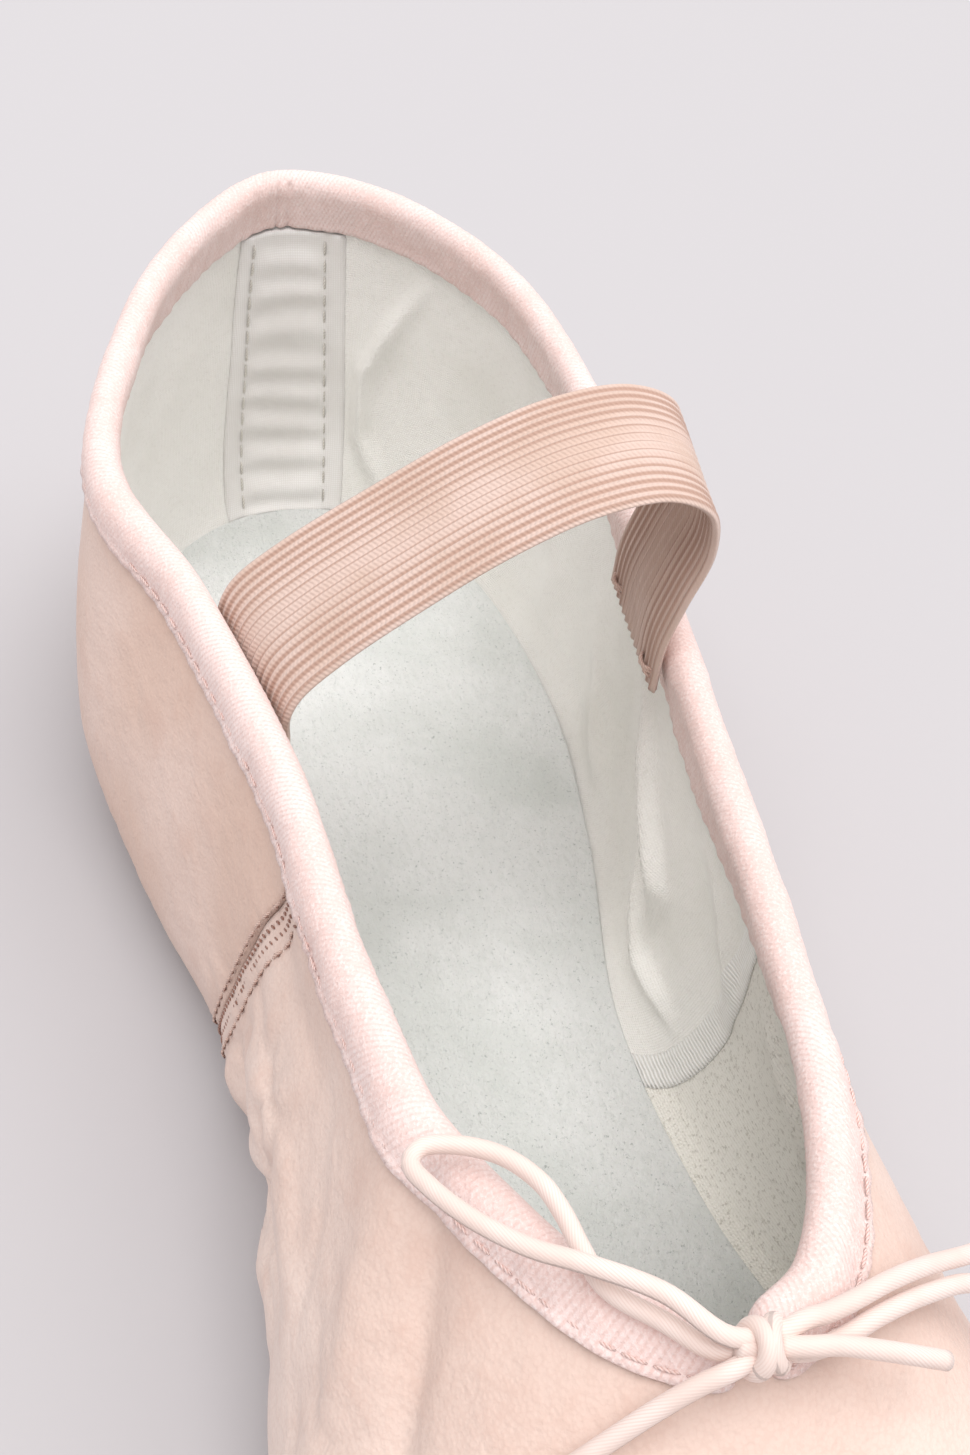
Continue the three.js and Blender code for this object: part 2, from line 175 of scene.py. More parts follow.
# ---- relief: what makes the soft upper look soft --------
LATTICE = np.random.default_rng(11).uniform(-1, 1, (64, 64, 64))


def cloud(p, size, seed=0.0):
    """Smooth noise from -1 to 1 with features about size across."""
    q = np.asarray(p, float) / size + seed * 7.31 + 100
    k = np.floor(q).astype(int)
    f = q - k
    f = f * f * (3 - 2 * f)
    out = 0
    for corner in itertools.product((0, 1), repeat=3):
        w = np.prod(np.where(corner, f, 1 - f), -1)
        x, y, z = ((k[..., j] + corner[j]) & 63 for j in range(3))
        out = out + w * LATTICE[x, y, z]
    return out


def bell(x):
    """1 at 0, falling away to nothing by 2 on both sides."""
    return np.exp(-x * x)


def near(p, points):
    """Distance from each point of p to a polyline, and how far along it, 0 to 1."""
    best, where = None, None
    points = np.asarray(points, float)
    for k in range(len(points) - 1):
        a, b = points[k], points[k + 1]
        w = (((p - a) @ (b - a)) / ((b - a) @ (b - a))).clip(0, 1)
        dist = np.linalg.norm(p - (a + w[..., None] * (b - a)), axis=-1)
        along = (k + w) / (len(points) - 1)
        if best is None:
            best, where = dist, along
        else:
            best, where = np.minimum(best, dist), np.where(dist < best, along, where)
    return best, where


# a fold is a path of (station, t), a width and a height; these move the whole wall
FOLDS = [
    (((5.1, 0.1), (5.15, 0.28), (5.4, 0.5)), 3.8, 1.7),
    (((5.5, 0.1), (5.62, 0.3), (6.0, 0.46), (6.6, 0.52)), 2.3, -1.8),
    (((5.95, 0.12), (6.1, 0.28), (6.3, 0.4)), 3.4, 1.1),
    (((5.6, 0.6), (6.2, 0.66), (6.9, 0.6)), 3.4, 1.1),
    (((5.1, 0.85), (5.7, 0.8), (6.4, 0.82)), 3.0, -0.9),
    (((7.35, 0.97), (7.7, 0.86), (7.95, 0.74), (8.0, 0.62)), 2.4, -1.2),
    (((7.0, 0.94), (7.3, 0.8), (7.5, 0.62), (7.5, 0.45)), 3.6, 1.3),
    (((15.9, 0.9), (15.6, 0.7), (15.6, 0.45)), 4.0, 0.7),
    (((16.6, 0.35), (16.9, 0.6), (17.4, 0.75)), 4.5, -0.7),
    (((3.2, 0.2), (3.3, 0.5), (3.1, 0.8)), 9.0, 0.6),
]
# creases of the leather alone
CREASES = [
    (((4.95, 0.3), (5.3, 0.36), (5.8, 0.33), (6.1, 0.4)), 0.9, -0.42),
    (((5.25, 0.52), (5.6, 0.5), (6.1, 0.56)), 1.0, -0.4),
    (((5.3, 0.7), (5.9, 0.66), (6.3, 0.7), (6.8, 0.66)), 0.8, -0.36),
    (((5.0, 0.16), (5.5, 0.2), (6.0, 0.16)), 1.0, -0.4),
    (((5.9, 0.46), (6.3, 0.42), (6.7, 0.46)), 0.8, -0.36),
    (((6.4, 0.8), (6.8, 0.72), (7.0, 0.6)), 0.9, -0.34),
    (((7.5, 0.93), (7.75, 0.83), (7.95, 0.72)), 0.8, -0.5),
    (((7.15, 0.7), (7.35, 0.66), (7.6, 0.7)), 1.1, -0.42),
    (((7.1, 0.6), (7.35, 0.55), (7.6, 0.58)), 1.1, -0.32),
    (((7.2, 0.5), (7.4, 0.47), (7.7, 0.48)), 1.1, -0.3),
    (((4.0, 0.12), (4.4, 0.2), (4.6, 0.16)), 1.0, -0.3),
    (((16.4, 0.3), (16.1, 0.45), (16.3, 0.6)), 1.0, -0.36),
    (((15.4, 0.5), (15.7, 0.6), (15.9, 0.75)), 1.0, -0.34),
    (((13.4, 0.5), (13.9, 0.55), (14.3, 0.5)), 1.4, -0.3),
    (((8.6, 0.5), (9.2, 0.56), (9.8, 0.52)), 1.6, -0.3),
]
# folds of the lining alone, pushed in from the wall
LINING_FOLDS = [
    (((17.9, 0.78), (17.45, 0.64), (17.1, 0.56), (17.15, 0.42)), 1.8, 1.7),
    (((17.5, 0.44), (17.1, 0.33), (16.7, 0.36)), 1.4, 1.2),
    (((16.9, 0.86), (16.4, 0.74), (16.25, 0.6)), 2.2, 0.8),
    (((15.9, 0.78), (15.5, 0.66), (15.1, 0.5), (14.8, 0.4)), 2.4, 1.1),
    (((19.5, 0.72), (19.3, 0.5), (19.4, 0.3)), 4.0, 0.9),
    (((20.55, 0.92), (20.9, 0.75), (21.25, 0.58), (21.3, 0.42), (21.1, 0.28)), 1.3, 1.6),
    (((2.2, 0.7), (2.3, 0.5), (2.2, 0.3)), 4.0, 0.7),
    (((18.7, 0.6), (18.5, 0.4), (18.2, 0.25)), 4.0, 0.8),
]


# wrinkled patches of the leather: station, t, reach in stations and in t, height, direction of the creases
WRINKLES = [(5.75, 0.42, 0.7, 0.32, 3.4, (0.7, 0.5, 0.3)), (7.4, 0.66, 0.3, 0.26, 1.6, (0.2, 1.0, 0.0)),
            (3.6, 0.15, 0.8, 0.16, 1.1, (0.6, 0.1, 0.8)), (16.2, 0.4, 0.7, 0.3, 1.1, (0.7, -0.5, 0.3)),
            (14.6, 0.6, 0.35, 0.25, 1.2, (0.2, -1.0, 0.0)), (9.4, 0.3, 1.2, 0.2, 0.9, (0.7, 0.5, 0.3)),
            (12.7, 0.3, 1.2, 0.2, 0.9, (0.7, -0.5, 0.3)), (1.2, 0.2, 0.6, 0.16, 0.9, (0.2, 1.0, 0.3)),
            (20.8, 0.2, 0.6, 0.16, 0.9, (0.2, -1.0, 0.3))]


def wrinkles(p, i, t):
    """Sharp creases between soft pads, long in one direction, inside each patch."""
    out = np.zeros(p.shape[:-1])
    for i0, t0, di, dt, height, along in WRINKLES:
        axis = np.array(along) / np.linalg.norm(along)
        q = p - 0.5 * (p @ axis)[..., None] * axis
        q = q + 1.6 * np.stack([cloud(p, 9, 40), cloud(p, 9, 41), cloud(p, 9, 42)], -1)
        pads = np.minimum(np.abs(cloud(q, 4.2, i0)) + 0.08, np.abs(cloud(q, 8, i0 + 3)))
        patch = bell((i - i0) / di) * bell((t - t0) / dt)
        out = out + height * patch * (np.sqrt(pads + 0.012) - 0.4)
    return out


def ridge(p, folds):
    """Height of a list of folds at each point of the skin; each fold dies out at both its ends."""
    out = np.zeros(p.shape[:-1])
    for path, width, height in folds:
        path = np.array(path, float)
        line = skin(path[:, 0], path[:, 1])
        dist, along = near(p, line)
        out = out + height * bell(dist / width) * np.sin(np.pi * along.clip(0.04, 0.96)) ** 0.5
    return out


def soft(p, t):
    """Undulation shared by every layer of the wall, along the skin's normal."""
    base = 0.55 * cloud(p, 26, 1) + 0.2 * cloud(p, 11, 2)
    return base * np.clip(t * 6, 0, 1) * (1 - 0.6 * np.clip(t, 0, 1) ** 6) + ridge(p, FOLDS)


def wall(i, t, off):
    """Point on a face of the wall, with its undulation."""
    p, n = skin(i, t), normal(i, t)
    n = np.where((t < 0)[..., None] if np.ndim(t) else t < 0, np.array((0.0, 0, -1)), n)
    return p + n * (np.asarray(off) + soft(p, t))[..., None]


# ---- Blender helpers --------
def mesh(name, verts, faces, material, uv=None, smooth=True):
    """A mesh object in metres. uv holds one pair for each vertex, in millimetres."""
    data = bpy.data.meshes.new(name)
    data.from_pydata((np.asarray(verts) * MM).tolist(), [], [tuple(f) for f in np.asarray(faces).tolist()]
                     if isinstance(faces, np.ndarray) else faces)
    if uv is not None:
        layer = data.uv_layers.new(name="UVMap")
        index = np.empty(len(data.loops), int)
        data.loops.foreach_get("vertex_index", index)
        layer.data.foreach_set("uv", np.asarray(uv, float)[index].ravel())
    bm = bmesh.new()
    bm.from_mesh(data)
    bmesh.ops.recalc_face_normals(bm, faces=bm.faces)
    bm.to_mesh(data)
    bm.free()
    data.polygons.foreach_set("use_smooth", np.full(len(data.polygons), smooth))
    data.materials.append(material)
    data.update()
    obj = bpy.data.objects.new(name, data)
    bpy.context.collection.objects.link(obj)
    return obj


def place(obj, body, slot, *nodes):
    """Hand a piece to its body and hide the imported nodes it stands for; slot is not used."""
    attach(obj, body)
    if nodes:
        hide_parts(*nodes)
    return obj


def grid_faces(rows, cols, wrap_rows=False, wrap_cols=False, flip=False):
    """Four-sided faces of a grid of points, closed on itself where asked."""
    r = np.arange(rows if wrap_rows else rows - 1)
    c = np.arange(cols if wrap_cols else cols - 1)
    R, C = np.meshgrid(r, c, indexing="ij")
    R2, C2 = (R + 1) % rows, (C + 1) % cols
    f = np.stack([R * cols + C, R2 * cols + C, R2 * cols + C2, R * cols + C2], -1).reshape(-1, 4)
    return f[:, ::-1] if flip else f


def arc(p, axis):
    """Length so far along an axis of a grid of points."""
    step = np.linalg.norm(np.diff(p, axis=axis), axis=-1)
    pad = [(0, 0)] * step.ndim
    pad[axis] = (1, 0)
    return np.pad(np.cumsum(step, axis), pad)


def shell(name, outer, inner, material):
    """A closed layer between two grids of points."""
    rows, cols = outer.shape[:2]
    n = rows * cols
    faces = [grid_faces(rows, cols), grid_faces(rows, cols, flip=True) + n]
    a = np.arange(n).reshape(rows, cols)
    for edge in (a[0], a[:, -1], a[-1, ::-1], a[::-1, 0]):
        faces.append(np.stack([edge[:-1], edge[1:], edge[1:] + n, edge[:-1] + n], -1))
    uv = np.stack([arc(outer, 0), arc(outer, 1)], -1).reshape(-1, 2)
    return mesh(name, np.concatenate([outer.reshape(-1, 3), inner.reshape(-1, 3)]), np.concatenate(faces),
                material, np.concatenate([uv, uv]))


def tube(points, diameter, sides=12, loop=False, taper=None):
    """Verts, faces and uv of a round solid along points."""
    p = np.asarray(points, float)
    n = len(p)
    along = np.roll(p, -1, 0) - np.roll(p, 1, 0)
    if not loop:
        along[0], along[-1] = p[1] - p[0], p[-1] - p[-2]
    along /= np.linalg.norm(along, axis=1, keepdims=True)
    side = np.zeros((n, 3))
    s = np.cross((0, 0, 1), along[0])
    s = s if np.linalg.norm(s) > 0.1 else np.array((1.0, 0, 0))
    for k in range(n):
        s = s - along[k] * (s @ along[k])
        s = s / np.linalg.norm(s)
        side[k] = s
    up = np.cross(along, side)
    w = np.arange(sides) * 2 * np.pi / sides
    r = (np.full(n, 1.0) if taper is None else np.asarray(taper))[:, None, None] * diameter / 2
    v = p[:, None] + r * (side[:, None] * np.cos(w)[:, None] + up[:, None] * np.sin(w)[:, None])
    faces = grid_faces(n, sides, wrap_rows=loop, wrap_cols=True, flip=True).tolist()
    if not loop:
        faces += [list(range(sides)), [(n - 1) * sides + k for k in reversed(range(sides))]]
    run = np.repeat(arc(p[:, None], 0), sides, 1)
    round_ = np.broadcast_to(np.arange(sides) * np.pi * diameter / sides, (n, sides))
    return v.reshape(-1, 3), faces, np.stack([run, round_], -1).reshape(-1, 2)


def join(parts):
    """Several (verts, faces, uv) as one."""
    verts, faces, uv, base = [], [], [], 0
    for v, f, t in parts:
        verts.append(v)
        uv.append(t)
        faces += [[k + base for k in face] for face in (f.tolist() if isinstance(f, np.ndarray) else f)]
        base += len(v)
    return np.concatenate(verts), faces, np.concatenate(uv)


def curve(points, count):
    """Smooth line through points, evenly spaced (centripetal Catmull-Rom)."""
    p = np.asarray(points, float)
    p = np.concatenate([[2 * p[0] - p[1]], p, [2 * p[-1] - p[-2]]])
    knots = np.concatenate([[0], np.cumsum(np.linalg.norm(np.diff(p, axis=0), axis=1) ** 0.5)])
    out = []
    for k in range(1, len(p) - 2):
        t0, t1, t2, t3 = knots[k - 1:k + 3]
        t = np.linspace(t1, t2, 24, endpoint=False)[:, None]
        a1 = (t1 - t) / (t1 - t0) * p[k - 1] + (t - t0) / (t1 - t0) * p[k]
        a2 = (t2 - t) / (t2 - t1) * p[k] + (t - t1) / (t2 - t1) * p[k + 1]
        a3 = (t3 - t) / (t3 - t2) * p[k + 1] + (t - t2) / (t3 - t2) * p[k + 2]
        b1 = (t2 - t) / (t2 - t0) * a1 + (t - t0) / (t2 - t0) * a2
        b2 = (t3 - t) / (t3 - t1) * a2 + (t - t1) / (t3 - t1) * a3
        out.append((t2 - t) / (t2 - t1) * b1 + (t - t1) / (t2 - t1) * b2)
    return resample(np.concatenate(out + [p[-2:-1]]), count)


def resample(p, count):
    """The same line with its points evenly spaced."""
    run = np.concatenate([[0], np.cumsum(np.linalg.norm(np.diff(p, axis=0), axis=1))])
    at = np.linspace(0, run[-1], count)
    return np.stack([np.interp(at, run, p[:, j]) for j in range(p.shape[1])], -1)


def stitches(line, normals, stitch, space, diameter, rise_=0.5, tilt=0.0):
    """A row of stitches on a line of points: each bows up by rise_ diameters and dives in at both ends."""
    run = np.concatenate([[0], np.cumsum(np.linalg.norm(np.diff(line, axis=0), axis=1))])
    parts, count = [], int(run[-1] // (stitch + space))
    for k in range(count):
        at = np.linspace(0, 1, 7) * stitch + k * (stitch + space) + space / 2
        p = np.stack([np.interp(at, run, line[:, j]) for j in range(3)], -1)
        n = np.stack([np.interp(at, run, normals[:, j]) for j in range(3)], -1)
        w = np.linspace(-1, 1, 7)
        across = np.cross(n, p[-1] - p[0])
        across /= np.linalg.norm(across, axis=1, keepdims=True)
        p = p + n * (rise_ * (1 - w**4) - 0.35)[:, None] * diameter + across * (w * tilt)[:, None]
        parts.append(tube(p, diameter, 6, taper=np.sqrt(1.02 - w**4 * 0.85)))
    return join(parts)


# ---- materials --------
def rgb(r, g, b):
    """Linear colour from 0 to 255 values as they look on a screen."""
    c = np.array((r, g, b)) / 255
    return (*np.where(c < 0.04045, c / 12.92, ((c + 0.055) / 1.055) ** 2.4), 1.0)


class Finish:
    """A material whose nodes are built like a formula: each method returns a node's output."""

    def __init__(self, name, roughness, specular=0.3, sheen=0.0):
        self.material = bpy.data.materials.new(name)
        self.material.use_nodes = True
        self.tree = self.material.node_tree
        self.shader = self.tree.nodes["Principled BSDF"]
        for key, value in (("Roughness", roughness), ("Specular IOR Level", specular),
                           ("Sheen Weight", sheen), ("Sheen Roughness", 0.45)):
            self.shader.inputs[key].default_value = value
        self.at = self.node("TexCoord", {}).outputs["Object"]
        pair = self.node("SeparateXYZ", {0: self.node("UVMap", {}, uv_map="UVMap").outputs[0]})
        self.u, self.v = pair.outputs[0], pair.outputs[1]

    def node(self, kind, inputs, **settings):
        n = self.tree.nodes.new("ShaderNode" + kind)
        for key, value in settings.items():
            setattr(n, key, value)
        for key, value in inputs.items():
            if isinstance(value, bpy.types.NodeSocket):
                self.tree.links.new(value, n.inputs[key])
            else:
                n.inputs[key].default_value = value
        return n

    def math(self, operation, a, b=0.0):
        return self.node("Math", {0: a, 1: b}, operation=operation).outputs[0]

    def noise(self, size, detail=2.0, rough=0.5, stretch=None):
        """Noise with features about size mm across, divided along each axis by stretch."""
        at = self.at
        if stretch:
            at = self.node("VectorMath", {0: at, 1: stretch}, operation="MULTIPLY").outputs[0]
        return self.node("TexNoise", {"Vector": at, "Scale": 1000 / size, "Detail": detail,
                                      "Roughness": rough}).outputs[0]

    def cells(self, size):
        """Rounded cells about size mm across."""
        return self.node("TexVoronoi", {"Vector": self.at, "Scale": 1000 / size}).outputs["Distance"]

    def wave(self, x, pitch, phase=0.0):
        """0 to 1 and back each pitch mm along x."""
        a = self.math("MULTIPLY_ADD", x, 2 * math.pi / pitch)
        a.node.inputs[2].default_value = phase
        w = self.math("MULTIPLY_ADD", self.math("SINE", a), 0.5)
        w.node.inputs[2].default_value = 0.5
        return w

    def slanted(self, degrees):
        """Distance across lines that run at that angle to u."""
        a = math.radians(degrees)
        return self.math("ADD", self.math("MULTIPLY", self.u, math.sin(a)),
                         self.math("MULTIPLY", self.v, -math.cos(a)))

    def ramp(self, x, low, high):
        """0 below low, 1 above high, smooth between."""
        return self.node("MapRange", {"Value": x, "From Min": low, "From Max": high},
                         interpolation_type="SMOOTHSTEP").outputs[0]

    def mix(self, a, b, factor):
        return self.node("Mix", {0: factor, 6: a, 7: b}, data_type="RGBA").outputs[2]

    def bump(self, *layers):
        """Relief from pairs of height, from 0 to 1, and depth in mm."""
        last = None
        for height, depth in layers:
            n = self.node("Bump", {"Height": height, "Distance": depth * MM, "Strength": 1.0})
            if last:
                self.tree.links.new(last, n.inputs["Normal"])
            last = n.outputs[0]
        self.tree.links.new(last, self.shader.inputs["Normal"])

    def finish(self, colour, roughness=None):
        self.tree.links.new(colour, self.shader.inputs["Base Color"])
        if roughness:
            self.tree.links.new(roughness, self.shader.inputs["Roughness"])
        return self.material


def leather(name, tint, shade):
    """Soft garment leather: dye that varies from tint to shade, fine pores, a faint sheen."""
    m = Finish(name, 0.5, 0.3, 0.1)
    blotch, mottle, grain = m.noise(34, 3), m.noise(6, 4, 0.6), m.cells(0.42)
    pores = m.noise(0.3, 3, 0.65)
    colour = m.mix(shade, tint, m.ramp(blotch, 0.36, 0.64))
    colour = m.mix(colour, rgb(206, 171, 156), m.math("MULTIPLY", m.ramp(mottle, 0.5, 0.72), 0.3))
    colour = m.mix(colour, rgb(196, 160, 146), m.math("MULTIPLY", m.ramp(grain, 0.45, 0.7), 0.12))
    m.bump((m.ramp(mottle, 0.3, 0.7), 0.16), (m.noise(1.6, 4, 0.65), 0.1), (grain, 0.03), (pores, 0.03))
    return m.finish(colour, m.math("MULTIPLY_ADD", pores, 0.25))


def twill():
    """Cotton tape woven in twill, brushed soft."""
    m = Finish("pink_twill_tape", 0.85, 0.2, 0.2)
    lines = m.wave(m.slanted(48), 0.46)
    threads = m.wave(m.slanted(-42), 0.4)
    fuzz, tone = m.noise(0.3, 3, 0.7), m.noise(9, 4, 0.6)
    woven = m.math("MULTIPLY_ADD", m.ramp(lines, 0.0, 0.6), 0.62)
    m.tree.links.new(m.math("MULTIPLY", threads, 0.28), woven.node.inputs[2])
    colour = m.mix(rgb(230, 201, 194), rgb(238, 217, 213), m.ramp(tone, 0.35, 0.65))
    # painted shade: the tape is darker where the weave's bump is low, in the twill's valleys
    colour = m.mix(rgb(225, 196, 189), colour, woven)
    colour = m.mix(colour, rgb(246, 233, 230), m.math("MULTIPLY", m.ramp(fuzz, 0.45, 0.7), 0.6))
    m.bump((woven, 0.03), (m.noise(1.1, 3, 0.65), 0.14), (fuzz, 0.1))
    return m.finish(colour)


def cotton(name, tint, shade, pitch, flecks):
    """Plain-woven cloth; flecks, from 0 to 1, is how strongly darker slubs show in it."""
    m = Finish(name, 0.9, 0.15, 0.15)
    warp, weft = m.wave(m.u, pitch), m.wave(m.v, pitch)
    cloth = m.math("MULTIPLY", warp, weft)
    tone, slub = m.noise(22, 3), m.noise(0.5, 3, 0.7)
    colour = m.mix(shade, tint, m.ramp(tone, 0.3, 0.6))
    colour = m.mix(shade, colour, m.ramp(cloth, -0.4, 0.4))
    colour = m.mix(colour, rgb(186, 179, 166), m.math("MULTIPLY", m.ramp(slub, 0.52, 0.68), flecks))
    m.bump((cloth, 0.06), (slub, 0.1), (m.noise(3.5, 3), 0.2))
    return m.finish(colour)


def suede(name, light, dark, fleck, amount):
    """Napped split leather with short fibres lying in all directions."""
    m = Finish(name, 0.95, 0.12, 0.3)
    nap, drift = m.noise(0.42, 4, 0.75), m.noise(19, 4, 0.55)
    brushed = m.noise(0.95, 4, 0.7, (0.6, 1.4, 1))
    colour = m.mix(dark, light, m.ramp(drift, 0.3, 0.62))
    colour = m.mix(colour, dark, m.math("MULTIPLY", m.ramp(brushed, 0.45, 0.7), 0.5))
    colour = m.mix(colour, fleck, m.math("MULTIPLY", m.ramp(nap, 0.57, 0.72), amount))
    m.bump((brushed, 0.42), (nap, 0.24))
    return m.finish(colour)


def ribbed_elastic():
    """Knitted covering of the strap; its ribs are in the mesh."""
    m = Finish("ribbed_elastic", 0.7, 0.25, 0.25)
    knit = m.wave(m.u, 0.55)
    groove_shade_mask = m.ramp(m.wave(m.v, STRAP_WIDTH / RIBS, -math.pi / 2), 0.0, 0.5)
    tone, fuzz = m.noise(9, 3), m.noise(0.4, 3, 0.7)
    colour = m.mix(rgb(204, 178, 164), rgb(212, 188, 177), m.ramp(tone, 0.35, 0.65))
    # painted shade: the knit darkens in the grooves between the mesh's ribs, where this mask is 0
    colour = m.mix(rgb(178, 145, 130), colour, groove_shade_mask)
    colour = m.mix(colour, rgb(192, 162, 149), m.math("MULTIPLY", knit, 0.14))
    m.bump((knit, 0.04), (fuzz, 0.05))
    return m.finish(colour)


def braid():
    """Covered elastic cord: a smooth, very fine braid."""
    m = Finish("covered_cord", 0.55, 0.3, 0.2)
    fine, tone = m.wave(m.slanted(24), 0.24), m.noise(5, 2)
    colour = m.mix(rgb(226, 205, 196), rgb(233, 216, 209), m.ramp(tone, 0.35, 0.65))
    colour = m.mix(rgb(223, 201, 192), colour, m.ramp(fine, 0.0, 0.7))
    m.bump((fine, 0.012))
    return m.finish(colour)


def thread(name, tint, shade):
    """Twisted sewing thread."""
    m = Finish(name, 0.6, 0.3, 0.2)
    twist = m.wave(m.slanted(40), 0.3)
    m.bump((twist, 0.06))
    return m.finish(m.mix(shade, tint, m.ramp(twist, 0.0, 0.6)))


def fibre_board():
    """Pressed cellulose board with fibres that lie one way."""
    m = Finish("fibre_board", 0.9, 0.15)
    fibre, tone = m.noise(0.6, 4, 0.7, (0.5, 1, 1)), m.noise(15, 3)
    colour = m.mix(rgb(214, 201, 178), rgb(228, 218, 198), m.ramp(tone, 0.35, 0.65))
    m.bump((fibre, 0.1))
    return m.finish(m.mix(colour, rgb(190, 172, 145), m.math("MULTIPLY", m.ramp(fibre, 0.5, 0.7), 0.4)))


def tape():
    """White woven tape."""
    m = Finish("stay_tape", 0.85, 0.18, 0.2)
    weave = m.math("MULTIPLY", m.wave(m.u, 0.34), m.wave(m.v, 0.34))
    tone, fuzz = m.noise(12, 3), m.noise(0.4, 3, 0.7)
    colour = m.mix(rgb(236, 233, 230), rgb(246, 244, 242), m.ramp(tone, 0.35, 0.65))
    colour = m.mix(rgb(228, 224, 219), colour, m.ramp(weave, -0.3, 0.4))
    m.bump((weave, 0.03), (fuzz, 0.05))
    return m.finish(colour)


def overlock():
    """Serged edge: close white stitches across a narrow strip."""
    m = Finish("overlock_edge", 0.85, 0.18, 0.2)
    stitch, fuzz = m.wave(m.u, 0.62), m.noise(0.4, 3, 0.7)
    colour = m.mix(rgb(236, 233, 227), rgb(250, 249, 246), m.ramp(stitch, 0.0, 0.6))
    m.bump((stitch, 0.1), (fuzz, 0.1))
    return m.finish(colour)


def studio_floor():
    m = Finish("paper_floor", 0.9, 0.1)
    m.shader.inputs["Base Color"].default_value = rgb(184, 181, 183)
    return m.material


STRAP_WIDTH, STRAP_THICK, RIBS = 19, 0.9, 14
QUARTER_LEATHER = leather("pink_leather", rgb(222, 198, 187), rgb(214, 185, 170))
# painted light: the vamp's leather is a paler copy of the quarters' pink leather, lighter for the light that
# falls on it
VAMP_LEATHER = leather("pink_leather_painted_light", rgb(227, 207, 197), rgb(219, 194, 182))
TWILL, BRAID, STRAP_KNIT = twill(), braid(), ribbed_elastic()
COTTON = cotton("lining_cotton", rgb(253, 251, 247), rgb(242, 240, 234), 0.36, 0.1)
CANVAS = cotton("lining_canvas", rgb(253, 250, 243), rgb(242, 238, 228), 0.46, 0.55)
SOCK_SUEDE = suede("sock_suede", rgb(238, 239, 237), rgb(222, 225, 221), rgb(168, 174, 170), 0.9)
SOLE_SUEDE = suede("sole_suede", rgb(196, 190, 182), rgb(172, 166, 158), rgb(140, 134, 126), 0.5)
STAY_TAPE = tape()
PINK_THREAD = thread("pink_thread", rgb(220, 191, 178), rgb(198, 164, 150))
BINDING_THREAD = thread("binding_thread", rgb(232, 206, 200), rgb(208, 174, 165))
WHITE_THREAD = thread("white_thread", rgb(236, 232, 224), rgb(196, 190, 180))
# real thread darkened with painted shade, for the seam's groove where the zigzag ticks lie and for the needle
# holes
DARK_THREAD = thread("shaded_thread", rgb(160, 117, 102), rgb(120, 82, 69))
OVERLOCK = overlock()
BOARD_FIBRE = fibre_board()


def sewing(name, parts, material=None):
    """A mesh from what join() or stitches() gives."""
    verts, faces, uv = parts
    return mesh(name, verts, faces, material or PINK_THREAD, uv)


# ---- upper --------
def lean(low, high):
    """A seam's station at q: low at the sole edge, high at the topline."""
    return lambda q: low + (high - low) * np.clip(q, 0, 1)


def steady(i):
    """A seam that keeps to one station."""
    return lambda q: i + 0 * q


def shift(f, d):
    """The same seam d stations further on."""
    return lambda q: f(q) + d


SEAM = {"left": lean(station_at(-1, -22, 0), station_at(-1, -4)),
        "right": lean(station_at(1, -22, 0), station_at(1, -4))}
LINING_SEAM = {"left": lean(station_at(-1, -5, 0), station_at(-1, 10)),
               "right": lean(station_at(1, -5, 0), station_at(1, 10))}
HALF = 0.008                     # half the gap at a butted seam, in stations
AT_BINDING = 0.85                # a seam's q at the binding's lower edge


def panel_grid(a, b, low, high, spacing):
    """Stations and t of a layer between the seams a and b, from row g = low to high."""
    g = np.concatenate([np.linspace(low, 0, 12, endpoint=False) if low < 0 else [],
                        np.linspace(max(low, 0), 1, 64), np.linspace(1, high, 9)[1:]])
    q = np.where(g <= 1, AT_BINDING * g, AT_BINDING + (1 - AT_BINDING) * (g - 1))
    edge = skin(np.linspace(float(a(0.5)), float(b(0.5)), 60), np.full(60, 0.4))
    count = int(np.linalg.norm(np.diff(edge, axis=0), axis=1).sum() / spacing) + 2
    w = np.linspace(0, 1, count)
    i = a(q)[:, None] * (1 - w) + b(q)[:, None] * w
    return i, level(i, g[:, None])


def edges(i, t):
    """Distance from the first seam and from the second at each point of a layer."""
    run = arc(skin(i, t), 1)
    return run, run[:, -1:] - run


def leather_panel(side, a, b, *, pleats=False):
    """Leather from seam a to seam b; pleats gathers it round the toe."""
    i, t = panel_grid(a, b, -1, 2, 0.85)
    p = skin(i, t)
    left, right = edges(i, t)
    inside_wall = np.clip(t * 8, 0, 1) * (1 - np.clip(t, 0, 1) ** 5)
    relief = (1.4 * ridge(p, CREASES) + wrinkles(p, i, t) + 0.06 * cloud(p, 3.2, 4)) * inside_wall
    seam = np.minimum(left, right)
    relief -= 0.32 * bell(seam / 0.8) * np.clip(t * 8, 0, 1)
    relief += 0.16 * bell((seam - 3.0) / 1.3) * inside_wall
    for k in (0.9, 1.9):
        relief -= 0.1 * bell((seam - k * 1.7) / 0.4) * inside_wall
    if pleats:
        s = arc(skin(i, np.zeros(i.shape)), 1)
        ripple = 0.5 + 0.5 * np.cos(2 * np.pi * (s / 5.2 + 0.18 * cloud(p, 14, 6)))
        reach = bell((i - TOE) / 3.4) * np.clip(t * 14, 0, 1) * np.clip((0.36 - t) / 0.34, 0, 1)
        relief += 0.9 * ripple * reach
    outer, inner = wall(i, t, relief), wall(i, t, np.full(i.shape, -LEATHER))
    obj = shell(f"{side}_leather", outer, inner, VAMP_LEATHER if pleats else QUARTER_LEATHER)
    return place(obj, "shoe", "upper_leather", side)


leather_panel("vamp", shift(SEAM["left"], HALF), shift(SEAM["right"], -HALF), pleats=True)
leather_panel("quarter_left", steady(0.02), shift(SEAM["left"], -HALF))
leather_panel("quarter_right", shift(SEAM["right"], HALF), steady(N - 0.02))


